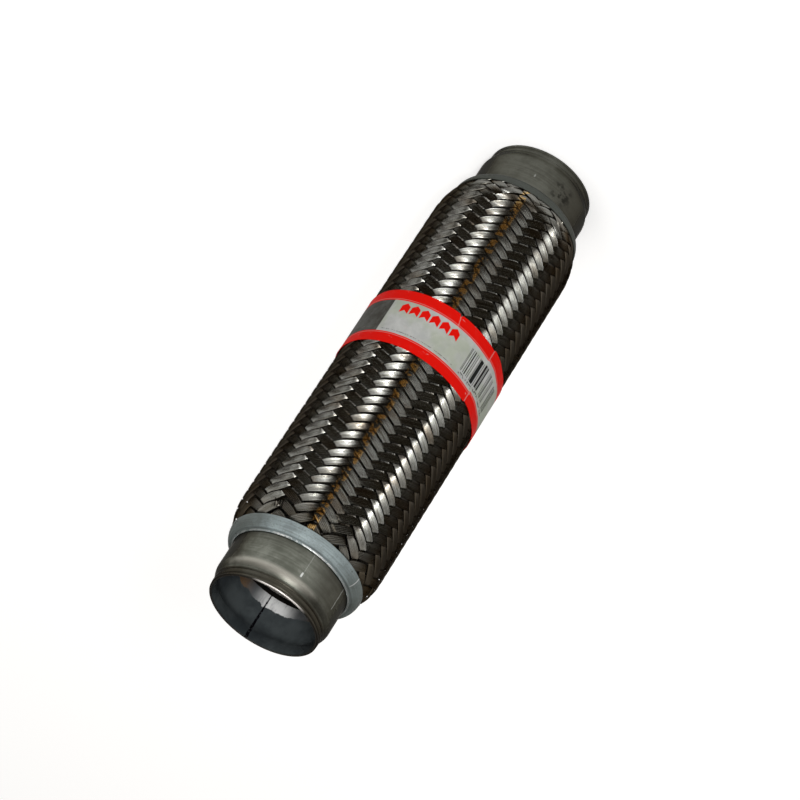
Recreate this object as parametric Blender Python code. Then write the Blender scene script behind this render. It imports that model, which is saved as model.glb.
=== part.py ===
"""Exhaust flex pipe, braided, with a plain pipe end at each side.

The pipe stands on its outlet end. +Z runs along its axis and the origin is
the centre of the bottom rim. Its inlet is at the top.
"""

import math

import bmesh
import bpy

# Driving dimensions, in metres
LENGTH = 0.280
TUBE_BORE = 0.055
TUBE_WALL = 0.0012
TUBE_EXPOSED = 0.0241
MOUTH_TAPER = 0.0016
LIP_LENGTH = 0.0034
LIP_STEP = 0.0004
TAPER_LENGTH = 0.0086
RIM_BREAK = 0.00025

CAP_WEB = 0.0015
CAP_WALL = 0.0006
CAP_CONE = 0.0029
CAP_SKIRT = 0.0023
CAP_COLLAR = 0.0006
CAP_EDGE_BREAK = 0.00025

BRAID_OVER_TUBE = 0.0078
BRAID_WALL = 0.00055
BRAID_RELIEF = 0.00045
BRAID_HEM_WALL = 0.0012
BRAID_HEM_RELIEF = 0.0004
BRAID_BULGE = 0.018
BRAID_ROW = 0.00542
BRAID_ROW_LEVEL = 0.2304

BELLOWS_WALL = 0.0004
BELLOWS_NECK = 0.0075

INNER_BRAID_WALL = 0.0008
INNER_BRAID_STEP = 0.0007
INNER_BRAID_RECESS = 0.0031

LABEL_WIDTH = 0.0325
LABEL_LEVEL = 0.1295
LABEL_SKEW = 0.00246
LABEL_PAPER = 0.0002

# Clearance between two pieces that touch
SEAT_GAP = 0.0003

# Counts, and angles in degrees
TUBE_SIDES = 32
BRAID_COLUMNS = 24
BELLOWS_SIDES = 18
BELLOWS_FOLDS = 16
INNER_BRAID_SIDES = 24
LABEL_SIDES = 48
CAP_CONE_STEPS = 3
BRAID_START_ANGLE = 8.0
LABEL_LAP_START = 127.5
LABEL_LAP_END = 142.5
LABEL_LAP_EDGE = 0.4
SHARP_ANGLE = 35.0

# Shape of the braid's bulge out of the cap, and of one ribbon's crown
BULGE_POWER = 2.8
BULGE_EXTRA_WALL = 0.0004
BULGE_RINGS = (0, 0.12, 0.25, 0.4, 0.6, 1)
CROWN_FROM = 0.25
CROWN_TO = 0.75
FOLD_CREST_FROM = 0.3
FOLD_CREST_TO = 0.7

# Radii of the weave before it gets its shape
VALLEY_MARK = 1.0
CROWN_MARK = 2.0

# Tolerances for merging points and matching angles
MERGE = 1e-7
LEVEL_MATCH = 1e-6
ANGLE_MATCH = 1e-9


def across_flats(sides):
    """Radius of a regular polygon's flats as a share of its corners' radius."""
    return math.cos(math.pi / sides)


# Radii and levels that follow from the driving dimensions
bore_radius = TUBE_BORE / 2
tube_radius = bore_radius + TUBE_WALL
mouth_radius = tube_radius - MOUTH_TAPER
tube_end = TUBE_EXPOSED + CAP_WEB

cap_bore = tube_radius + SEAT_GAP

inner_braid_in = bore_radius + INNER_BRAID_STEP
inner_braid_out = inner_braid_in + INNER_BRAID_WALL
inner_braid_end = tube_end + INNER_BRAID_RECESS

neck_in = (inner_braid_out + SEAT_GAP) / across_flats(BELLOWS_SIDES)
neck_out = neck_in + BELLOWS_WALL
bellows_end = tube_end + 2 * SEAT_GAP

hem_in = (neck_out + SEAT_GAP) / across_flats(BRAID_COLUMNS)
hem_valley = hem_in + BRAID_HEM_WALL
hem_crown = hem_valley + BRAID_HEM_RELIEF
skirt_in = (hem_crown + SEAT_GAP) / across_flats(TUBE_SIDES)
skirt_out = skirt_in + CAP_WALL
cone_end = tube_end + CAP_CONE
skirt_edge = cone_end + CAP_SKIRT
braid_end = cone_end + SEAT_GAP
bulge_start = skirt_edge + SEAT_GAP

braid_crown = tube_radius + BRAID_OVER_TUBE
braid_valley = braid_crown - BRAID_RELIEF

label_in = (braid_crown + SEAT_GAP) / across_flats(LABEL_SIDES)


def new_material(name, color, metallic, roughness):
    """A Principled material in one colour."""
    material = bpy.data.materials.new(name)
    material.use_nodes = True
    shader = material.node_tree.nodes["Principled BSDF"]
    shader.inputs["Base Color"].default_value = (*color, 1.0)
    shader.inputs["Metallic"].default_value = metallic
    shader.inputs["Roughness"].default_value = roughness
    material.diffuse_color = (*color, 1.0)
    return material


def finish_mesh(bm, name, material):
    """Turn the faces outward, shade them and store the mesh."""
    bmesh.ops.remove_doubles(bm, verts=bm.verts, dist=MERGE)
    bmesh.ops.recalc_face_normals(bm, faces=bm.faces)
    mesh = bpy.data.meshes.new(name)
    bm.to_mesh(mesh)
    bm.free()
    mesh.shade_smooth()
    mesh.set_sharp_from_angle(angle=math.radians(SHARP_ANGLE))
    mesh.materials.append(material)
    return mesh


def add_object(name, mesh, parent):
    """Place a mesh in the scene under the pipe's empty."""
    thing = bpy.data.objects.new(name, mesh)
    bpy.context.scene.collection.objects.link(thing)
    thing.parent = parent
    return thing


def turned_mesh(name, section, sides, material):
    """Spin a closed section, given as radius and height, round the Z axis."""
    bm = bmesh.new()
    corners = [bm.verts.new((radius, 0, height)) for radius, height in section]
    edges = [bm.edges.new((a, b)) for a, b in zip(corners, corners[1:] + corners[:1])]
    bmesh.ops.spin(
        bm,
        geom=corners + edges,
        cent=(0, 0, 0),
        axis=(0, 0, 1),
        angle=math.tau,
        steps=sides,
        use_merge=True,
    )
    return finish_mesh(bm, name, material)


def tube_section():
    """Pipe end: a lip at the mouth, a taper up to full size, a plain run."""
    outside = [
        (mouth_radius - RIM_BREAK, 0),
        (mouth_radius, RIM_BREAK),
        (mouth_radius, LIP_LENGTH),
        (mouth_radius + LIP_STEP, LIP_LENGTH + LIP_STEP),
        (tube_radius, TAPER_LENGTH),
        (tube_radius, tube_end),
    ]
    inside = [
        (bore_radius, tube_end),
        (bore_radius, TAPER_LENGTH),
        (mouth_radius - TUBE_WALL, LIP_LENGTH),
        (mouth_radius - TUBE_WALL, 0),
    ]
    return outside + inside


def cap_section():
    """Stamped cap: a collar on the tube, a rounded cone, a skirt over the braid."""
    collar = cap_bore + CAP_COLLAR
    foot = (collar + CAP_WALL / 2, TUBE_EXPOSED + CAP_COLLAR)
    shoulder = (skirt_out, cone_end - CAP_WALL / 2)
    outside = [(cap_bore, TUBE_EXPOSED), (collar, TUBE_EXPOSED), foot]
    for step in range(1, CAP_CONE_STEPS + 1):
        turn = step / CAP_CONE_STEPS * math.pi / 2
        share = (step / CAP_CONE_STEPS + math.sin(turn)) / 2
        outside.append((
            foot[0] + (shoulder[0] - foot[0]) * share,
            foot[1] + (shoulder[1] - foot[1]) * step / CAP_CONE_STEPS,
        ))
    outside.append((skirt_out, skirt_edge - CAP_EDGE_BREAK))
    outside.append((skirt_out - CAP_EDGE_BREAK, skirt_edge))
    inside = [
        (skirt_in, skirt_edge),
        (skirt_in, cone_end),
        (neck_out, tube_end),
        (cap_bore, tube_end),
    ]
    return outside + inside


def end_distance(height):
    """Distance of a height from the nearer end of the pipe."""
    return min(height, LENGTH - height)


def bulge_share(distance):
    """How far the braid has come out to full size, from 0 in the cap to 1."""
    share = (distance - bulge_start) / BRAID_BULGE
    share = min(max(share, 0.0), 1.0)
    return 1 - (1 - share) ** BULGE_POWER


def braid_valley_at(distance):
    return hem_valley + (braid_valley - hem_valley) * bulge_share(distance)


def braid_relief_at(distance):
    return BRAID_HEM_RELIEF + (BRAID_RELIEF - BRAID_HEM_RELIEF) * bulge_share(distance)


def braid_inner_at(distance):
    """Radius of the braid's inner side, with a thicker wall on the bulge."""
    share = bulge_share(distance)
    wall = BRAID_HEM_WALL + (BRAID_WALL - BRAID_HEM_WALL) * share
    wall += BULGE_EXTRA_WALL * math.sin(share * math.pi)
    return braid_valley_at(distance) - wall


def around(radius, angle, height):
    return (radius * math.cos(angle), radius * math.sin(angle), height)


def braid_outer_surface(bm):
    """Ribbons in a two-over-two weave, as ridges on a straight unit wall.

    Each column holds the visible floats of one set of ribbons. They climb one
    row pitch across the column in one set and drop one in the other. The floats
    of neighbouring columns are half a row apart where they dive under each other.
    """
    column_angle = math.tau / BRAID_COLUMNS
    half_row = BRAID_ROW / 2
    lowest = math.floor(-BRAID_ROW_LEVEL / BRAID_ROW) + 1
    highest = math.ceil((LENGTH - BRAID_ROW_LEVEL) / BRAID_ROW) - 1
    first_angle = math.radians(BRAID_START_ANGLE)
    seams = {}

    def seam(column, level):
        key = (column % BRAID_COLUMNS, level)
        if key not in seams:
            angle = first_angle + key[0] * column_angle
            height = BRAID_ROW_LEVEL + level * half_row
            seams[key] = bm.verts.new(around(VALLEY_MARK, angle, height))
        return seams[key]

    def crown(column, level, share):
        angle = first_angle + (column + share) * column_angle
        return bm.verts.new(around(CROWN_MARK, angle, BRAID_ROW_LEVEL + level * half_row))

    for column in range(BRAID_COLUMNS):
        climb = 2 if column % 2 == 0 else -2
        offset = 1 if column % 2 == 0 else 0
        for row in range(lowest, highest + 1):
            left = 2 * row + offset
            right = left + climb
            low_left, mid_left, high_left = (seam(column, left + d) for d in (-1, 0, 1))
            low_right, mid_right, high_right = (seam(column + 1, right + d) for d in (-1, 0, 1))
            near = crown(column, left + climb * CROWN_FROM, CROWN_FROM)
            far = crown(column, left + climb * CROWN_TO, CROWN_TO)
            bm.faces.new((low_left, near, mid_left))
            bm.faces.new((mid_left, near, high_left))
            bm.faces.new((high_left, near, far, high_right))
            bm.faces.new((high_right, far, mid_right))
            bm.faces.new((mid_right, far, low_right))
            bm.faces.new((low_right, far, near, low_left))


def cut_level(bm, height, side):
    """Cut the wall at a height. Side -1 drops what is below it and 1 what is above."""
    everything = bm.verts[:] + bm.edges[:] + bm.faces[:]
    bmesh.ops.bisect_plane(
        bm,
        geom=everything,
        dist=MERGE,
        plane_co=(0, 0, height),
        plane_no=(0, 0, 1),
        clear_inner=side < 0,
        clear_outer=side > 0,
    )


def braid_shape(bm):
    """Move the cut wall from its marked radii to the real ones."""
    flat = across_flats(BRAID_COLUMNS)
    column_angle = math.tau / BRAID_COLUMNS
    first_angle = math.radians(BRAID_START_ANGLE)
    for vert in bm.verts:
        angle = math.atan2(vert.co.y, vert.co.x)
        across = (angle - first_angle) % column_angle - column_angle / 2
        chord = flat / math.cos(across)
        floor = VALLEY_MARK * chord
        rise = (math.hypot(vert.co.x, vert.co.y) - floor) / (CROWN_MARK - floor)
        distance = end_distance(vert.co.z)
        groove = braid_valley_at(distance) * chord
        crown = braid_valley_at(distance) + braid_relief_at(distance)
        radius = groove + (crown - groove) * max(rise, 0.0)
        vert.co.x = radius * math.cos(angle)
        vert.co.y = radius * math.sin(angle)


def braid_inner_surface(bm):
    """Plain inner side of the braid, a ring of verts for each level."""
    run = [braid_end] + [bulge_start + BRAID_BULGE * share for share in BULGE_RINGS]
    levels = run + [LENGTH - distance for distance in reversed(run)]
    column_angle = math.tau / BRAID_COLUMNS
    first_angle = math.radians(BRAID_START_ANGLE)
    rings = []
    for height in levels:
        radius = braid_inner_at(end_distance(height))
        rings.append([
            bm.verts.new(around(radius, first_angle + column * column_angle, height))
            for column in range(BRAID_COLUMNS)
        ])
    for lower, upper in zip(rings, rings[1:]):
        for column in range(BRAID_COLUMNS):
            after = (column + 1) % BRAID_COLUMNS
            bm.faces.new((lower[column], upper[column], upper[after], lower[after]))


def braid_mesh(name, material):
    """One woven wall, cut square at both hems and closed to its inner side."""
    bm = bmesh.new()
    braid_outer_surface(bm)
    cut_level(bm, braid_end, -1)
    cut_level(bm, LENGTH - braid_end, 1)
    cut_level(bm, bulge_start, 0)
    cut_level(bm, LENGTH - bulge_start, 0)
    bmesh.ops.triangulate(bm, faces=bm.faces)
    braid_shape(bm)
    braid_inner_surface(bm)
    for height in (braid_end, LENGTH - braid_end):
        hem = [
            edge for edge in bm.edges
            if edge.is_boundary and all(abs(v.co.z - height) < LEVEL_MATCH for v in edge.verts)
        ]
        bmesh.ops.triangle_fill(bm, use_beauty=True, edges=hem, normal=(0, 0, 1))
    return finish_mesh(bm, name, material)


def bellows_outline():
    """Outer line of the bellows from the bottom neck to the top neck."""
    first = bellows_end + BELLOWS_NECK
    pitch = (LENGTH - 2 * first) / BELLOWS_FOLDS
    clear = across_flats(BRAID_COLUMNS)
    line = [(neck_out, bellows_end)]
    for fold in range(BELLOWS_FOLDS):
        foot = first + fold * pitch
        crest_ends = (foot + pitch * FOLD_CREST_FROM, foot + pitch * FOLD_CREST_TO)
        room = min(braid_inner_at(end_distance(height)) for height in crest_ends)
        crest = room * clear - SEAT_GAP
        line.append((neck_out, foot))
        line += [(crest, height) for height in crest_ends]
    line.append((neck_out, LENGTH - first))
    line.append((neck_out, LENGTH - bellows_end))
    return line


def bellows_section():
    outside = bellows_outline()
    inside = [(radius - BELLOWS_WALL, height) for radius, height in reversed(outside)]
    return outside + inside


def inner_braid_section():
    """Thin sleeve that carries the gas past the folds, set back in the bellows' necks."""
    top = LENGTH - inner_braid_end
    return [
        (inner_braid_out, inner_braid_end),
        (inner_braid_out, top),
        (inner_braid_in, top),
        (inner_braid_in, inner_braid_end),
    ]


def label_stations():
    """Angles round the label, each with its number of paper layers."""
    step = 360 / LABEL_SIDES
    stations = [(index * step, 1) for index in range(LABEL_SIDES)]
    lap = [(LABEL_LAP_START + LABEL_LAP_EDGE, 2), (LABEL_LAP_END - LABEL_LAP_EDGE, 2)]
    inside_lap = [
        (angle, 2 if LABEL_LAP_START < angle < LABEL_LAP_END else layers)
        for angle, layers in stations
    ]
    return sorted(inside_lap + lap)


def label_mesh(name, material):
    """Paper strip wrapped a little askew, with its end lapped over its start."""
    bm = bmesh.new()
    facing_angle = math.radians(-90)
    stations = []
    for degrees, layers in label_stations():
        angle = math.radians(degrees)
        level = LABEL_LEVEL + LABEL_SKEW * math.sin(facing_angle - angle)
        nearest = round(degrees / (360 / LABEL_SIDES)) * math.tau / LABEL_SIDES
        side = math.floor(degrees / (360 / LABEL_SIDES)) * math.tau / LABEL_SIDES
        on_corner = abs(nearest - angle) < ANGLE_MATCH
        off_middle = angle - side - math.pi / LABEL_SIDES
        flat = 1.0 if on_corner else across_flats(LABEL_SIDES) / math.cos(off_middle)
        inner = label_in * flat
        outer = inner + LABEL_PAPER * layers
        low = level - LABEL_WIDTH / 2
        high = level + LABEL_WIDTH / 2
        corners = ((inner, low), (outer, low), (outer, high), (inner, high))
        stations.append([bm.verts.new(around(radius, angle, z)) for radius, z in corners])
    for here, after in zip(stations, stations[1:] + stations[:1]):
        for corner in range(4):
            beside = (corner + 1) % 4
            bm.faces.new((here[corner], after[corner], after[beside], here[beside]))
    return finish_mesh(bm, name, material)


def clear_scene():
    for thing in list(bpy.data.objects):
        bpy.data.objects.remove(thing, do_unlink=True)


def build_pipe():
    clear_scene()
    tube_steel = new_material("aluminised_steel", (0.30, 0.31, 0.29), 0.9, 0.42)
    cap_steel = new_material("zinc_plated_steel", (0.42, 0.47, 0.48), 0.85, 0.45)
    wire_steel = new_material("stainless_wire", (0.40, 0.38, 0.35), 1.0, 0.25)
    bellows_steel = new_material("stainless_sheet", (0.50, 0.49, 0.47), 1.0, 0.3)
    inner_wire = new_material("inner_wire", (0.33, 0.32, 0.31), 1.0, 0.35)
    paper = new_material("label_paper", (0.62, 0.03, 0.02), 0.0, 0.5)

    pipe = bpy.data.objects.new("flex_pipe", None)
    bpy.context.scene.collection.objects.link(pipe)

    tube = turned_mesh("end_tube", tube_section(), TUBE_SIDES, tube_steel)
    cap = turned_mesh("end_cap", cap_section(), TUBE_SIDES, cap_steel)
    add_object("outlet_tube", tube, pipe)
    add_object("outlet_cap", cap, pipe)
    for name, mesh in (("inlet_tube", tube), ("inlet_cap", cap)):
        thing = add_object(name, mesh, pipe)
        thing.location.z = LENGTH
        thing.rotation_euler.x = math.pi

    add_object("outer_braid", braid_mesh("outer_braid", wire_steel), pipe)
    bellows = turned_mesh("bellows", bellows_section(), BELLOWS_SIDES, bellows_steel)
    add_object("bellows", bellows, pipe)
    sleeve = turned_mesh("inner_braid", inner_braid_section(), INNER_BRAID_SIDES, inner_wire)
    add_object("inner_braid", sleeve, pipe)
    add_object("label", label_mesh("label", paper), pipe)


build_pipe()
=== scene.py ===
"""Looks of the braided exhaust flex pipe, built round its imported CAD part.

Everything is in metres in the CAD frame: the pipe stands on its outlet and +Z
runs along its axis to the inlet, which is the end nearest to the camera.
Angles round the pipe are given as on the label: 0 faces the camera, and they
grow towards the camera's lower right.
"""

import math

import bmesh
import bpy
import numpy as np
from mathutils import Matrix, Vector


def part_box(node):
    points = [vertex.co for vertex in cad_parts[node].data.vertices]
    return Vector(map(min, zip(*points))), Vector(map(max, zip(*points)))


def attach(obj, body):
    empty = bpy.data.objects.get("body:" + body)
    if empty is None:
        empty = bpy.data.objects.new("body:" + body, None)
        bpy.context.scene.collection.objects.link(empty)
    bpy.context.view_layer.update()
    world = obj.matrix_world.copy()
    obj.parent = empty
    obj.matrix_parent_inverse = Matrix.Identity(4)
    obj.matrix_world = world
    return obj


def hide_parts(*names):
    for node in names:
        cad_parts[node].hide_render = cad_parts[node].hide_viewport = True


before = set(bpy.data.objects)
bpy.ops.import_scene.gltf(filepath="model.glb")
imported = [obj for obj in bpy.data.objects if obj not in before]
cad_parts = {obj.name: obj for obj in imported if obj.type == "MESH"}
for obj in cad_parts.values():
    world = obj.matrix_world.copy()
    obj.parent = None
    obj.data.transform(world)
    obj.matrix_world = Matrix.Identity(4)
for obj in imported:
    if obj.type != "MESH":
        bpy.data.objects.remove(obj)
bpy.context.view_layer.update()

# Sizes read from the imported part
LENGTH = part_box("inlet_tube")[1].z
TUBE_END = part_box("outlet_tube")[1].z
CAP_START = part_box("outlet_cap")[0].z
CAP_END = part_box("outlet_cap")[1].z
CAP_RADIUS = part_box("outlet_cap")[1].x
TUBE_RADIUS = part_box("outlet_tube")[1].x
BRAID_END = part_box("outer_braid")[0].z
LABEL_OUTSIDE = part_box("label")[1].x

# Tube ends
TUBE_WALL = 0.0012
MOUTH_TAPER = 0.0016
LIP_GROOVES = (0.0014, 0.0038)
LIP_STEP = 0.0001
LIP_END = 0.0050
GROOVE_DEPTH = 0.00016
GROOVE_HALF = 0.0003
TAPER_END = 0.0096
RIM_ROUND = 0.0003
INSIDE_SEAM = 86.6
SEAM_HALF = 1.3
SEAM_DEPTH = 0.00025

# Caps
CAP_WALL = 0.00035
CAP_GAP = 0.0003
CAP_CHAMFER = 0.0001
CAP_SEAT = (0.0016, 0.0020)
CAP_COLLAR = 0.0006
CAP_COLLAR_ROUND = 0.0004
CAP_COLLAR_LENGTH = 0.0008
CAP_EDGE_ROUND = 0.00025

# Outer braid
BRAID_RADIUS = 0.0365
BRAID_HEM_RADIUS = 0.0328
BRAID_COLUMNS = 24
BRAID_ROW = 0.00542
BRAID_LEVEL = 0.2304
BRAID_START_ANGLE = 8.0
BULGE_LENGTH = 0.018
BULGE_POWER = 2.9
BULGE_START = CAP_END
RIBBON_THICKNESS = 0.00040
RIBBON_RISE = 0.00043
RIBBON_FILL = 0.93
RIBBON_PINCH = 0.20
HEM_CRIMP = 0.7
WEAVE_SQUARENESS = 0.5
RIBBON_WIRES = 12
RIBBON_SHARES = (0.0, 0.06, 0.2, 0.4, 0.6, 0.8, 0.94)
# Depths of the grooves between the wires in turn, and the ribbon's arch, in thicknesses
WIRE_DEPTHS = (0.33, 0.46)
RIBBON_ARCH = 0.10
# Slope of the bulge at which the hem counts as fully narrowed, and how much the wires flatten there
HEM_SLOPE = 0.4
HEM_FLAT = 0.15
# How far a ribbon drifts, in rows, and lifts and tilts, in thicknesses
RIBBON_DRIFT = 0.022
RIBBON_LIFT = 0.10
RIBBON_TILT = 0.28

# Inner braid
INNER_RADIUS = 0.0288
INNER_ROW = 0.0042
INNER_THICKNESS = 0.00025
INNER_RISE = 0.00012
INNER_WIRES = 2
INNER_SHARES = (0.0, 0.2, 0.5, 0.8)

# Label
LABEL_GRID = (480, 34)
LABEL_START = 142.5
LABEL_LAP = 15.0
LABEL_LEVEL = 0.1295
LABEL_SKEW = 0.00246
LABEL_WIDTH = 0.0325
LABEL_PAPER = 0.0002
LABEL_RIPPLE = 0.00008
LABEL_CREASE_RISE = 0.00014
LABEL_EDGE_LIFT = 0.0001
# Step of the paper at a fold: how far it drops, and the angles where it starts and fades
LABEL_STEP = -0.0008
LABEL_STEP_START = (39.6, 40.6)
LABEL_STEP_FADE = (48.0, 62.0)
# Angle, half width in degrees, and depth of the tear
LABEL_TEAR = (3.4, 0.9, 0.0012)
# Start angle and level, end angle and level, and width in mm
LABEL_CREASES = (
    (-12.0, 9.5, -1.0, -3.0, 0.35),
    (-4.0, 9.8, 1.5, 3.0, 0.30),
    (-24.0, 4.0, -17.0, 9.6, 0.30),
    (39.9, -16.2, 40.2, 16.2, 0.40),
    (3.4, -16.2, 5.5, -9.0, 0.30),
    (36.0, 13.0, 44.0, 10.5, 0.30),
)

# Print on the label: levels in mm from its middle, angles in degrees
LABEL_RED = (0.78, 0.007, 0.003)
FIELD_RUN = (-9.8, 10.05)
BORDER_LINE_OFFSET = 0.8
GREY_FIELD_EDGE = (-48.0, -47.6)
BARS_TURN = (23.0, 66.0)
BARS_RUN = (-7.0, 6.8)
BAR_MODULES = 2.1
SMALL_PRINT_RUN = (7.4, 8.9)
DASHES_LEVEL = (8.3, 8.7)
DASHES_TURN = (-44.0, 18.0)
CHEVRONS_TURN = (-39.5, 10.5)
CHEVRONS_PER_DEGREE = 6 / 50
CHEVRON_RISE = 4.2
CHEVRON_RUN = (-8.6, -4.3)

# Camera, fitted to the pipe's outline in the photograph
CAMERA_PLACE = (0.0, -1.2409, 0.9405)
CAMERA_RIGHT = (-0.8411, -0.2911, -0.4559)
CAMERA_FORWARD = (0.0005, 0.8424, -0.5388)
CAMERA_LENS = 143.77
SENSOR = 36.0

# Corners round a turned piece, not counting those at the seam
TURN_SIDES = 192

# Colours that more than one place uses
EDGE_TINT = (0.12, 0.09, 0.06, 1.0)
TUBE_DARK = (0.095, 0.10, 0.083)
TUBE_LIGHT = (0.21, 0.22, 0.19)
# Painted shade on the tubes' sides, by the caps and on the outlet end
TUBE_SHADE = (0.045, 0.042, 0.034)
TUBE_HIGHLIGHT = (0.56, 0.54, 0.48)
CAP_DARK = (0.20, 0.235, 0.24)
CAP_LIGHT = (0.335, 0.40, 0.41)

# Braid: angles between which it faces the lamps, those past which the painted shade on its sides thins out
# again, those with gold-brown flecks, and where the painted shade on the near hem ends, in mm from the
# mouth
BRAID_LIT_TURN = (-60.0, 43.0)
SIDE_SHADE_TURN = (-115.0, 115.0)
FLECKS_TURN = (-8.5, -3.0)
HEM_SHADE_RUN = (34.0, 44.0)

# Painted shade in the gaps where a few wires have spread: angles, run from the mouth in mm, and degrees
# between them
SPREAD_TURN = (-42.0, -32.0)
SPREAD_RUN = (34.5, 38.5)
SPREAD_STEP = 2.2

# Tube ends: angles where they face the lamps, past which painted shade darkens them, and where the near rim
# gets a painted highlight, and runs from the inlet's mouth in mm of the painted highlight on the shoulder
# and of the painted shade by the cap
TUBE_LIT_TURN = (-54.0, 20.0)
RIM_HIGHLIGHT_TURN = (-22.0, 27.0)
SHOULDER_HIGHLIGHT_RUN = (6.4, 9.2)
CAP_SHADE_RUN = (16.0, 24.0)

# Distance from the inlet's mouth in mm over which painted shade darkens the outlet's tube and cap
OUTLET_SHADE_RUN = (200.0, 240.0)

# Angle, half width, start and end depth in mm, and strength of the tubes' scratches
TUBE_SCRATCHES = (
    (9.0, 0.8, 11.0, 13.4, 0.9),
    (9.6, 0.16, 14.0, 24.0, 0.35),
    (54.7, 0.20, 12.0, 24.0, 0.75),
    (-9.0, 0.7, 262.0, 263.6, 0.5),
)

# Dark smudges on the outlet tube: angles and run from the inlet's mouth in mm
SMUDGE_TURN = (12.0, 34.0)
SMUDGE_RUN = (258.0, 268.0)

# Bare band in the bore: where it starts, in mm, how it draws back from the weld,
# and the angles from the weld between which it gets a painted highlight and between which it has no brown
BARE_START = 18.8
BARE_SLANT = 0.045
BARE_HIGHLIGHT_TURN = (-24.0, 8.0)
BARE_CLEAN_TURN = (-46.0, 24.0)

# Caps: side facing the lamps with painted shade past it, butt seam, painted shade of a groove, and the pale
# glossy bead against the tube with a painted highlight on its front
CAP_LIT_TURN = (-34.0, 54.0)
CAP_SEAM_TURN = (52.6, 53.4)
CAP_SEAM_RUN = (25.5, 31.0)
CAP_GROOVE_SHADE_RUN = (24.95, 25.2)
BEAD_RUN = (23.9, 24.75)
BEAD_HIGHLIGHT_TURN = (-34.0, 28.0)

# Floor, and the light that its backdrop adds where it is seen
FLOOR_RADIUS = 12
FLOOR_DROP = 0.0003
FLOOR_GLOW = 0.52

# Lamps: angle round the pipe, elevation, distance, size and power
KEY = (5.5, 30.2, 1.55, 0.13, 6.8)
HALO = (5.5, 36.0, 1.70, 0.70, 3.5)
FILL = (-36.0, 33.0, 1.70, 0.50, 1.6)
TOP_PLACE = (0.2, -0.3, 2.6)
TOP_SIZE = 3.2
TOP_POWER = 54
WORLD_COLOR = (0.07, 0.055, 0.035, 1)


def add_piece(name, mesh, material, slot_name, *replaced):
    """A finished mesh as a piece on the pipe."""
    mesh.materials.append(material)
    piece = bpy.data.objects.new(name, mesh)
    bpy.context.scene.collection.objects.link(piece)
    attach(piece, "root")
    if replaced:
        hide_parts(*replaced)


def mesh_from(name, points, faces):
    mesh = bpy.data.meshes.new(name)
    mesh.from_pydata(points.tolist(), [], faces.tolist(), shade_flat=False)
    mesh.update()
    return mesh


def mark_points(mesh, name, values):
    """Store one number for each point, for a finish to read."""
    attribute = mesh.attributes.new(name, "FLOAT", "POINT")
    attribute.data.foreach_set("value", np.asarray(values, np.float32))


def smooth_step(x, start, end):
    share = np.clip((x - start) / (end - start), 0, 1)
    return share * share * (3 - 2 * share)


def wander(positions, seed, spacing, amount):
    """Smooth random offsets along a line, one knot per spacing."""
    span = positions.max() - positions.min()
    knots = max(int(span / spacing) + 2, 2)
    values = np.random.RandomState(seed).uniform(-amount, amount, knots)
    return np.interp(positions, np.linspace(positions.min(), positions.max(), knots), values)


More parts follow.
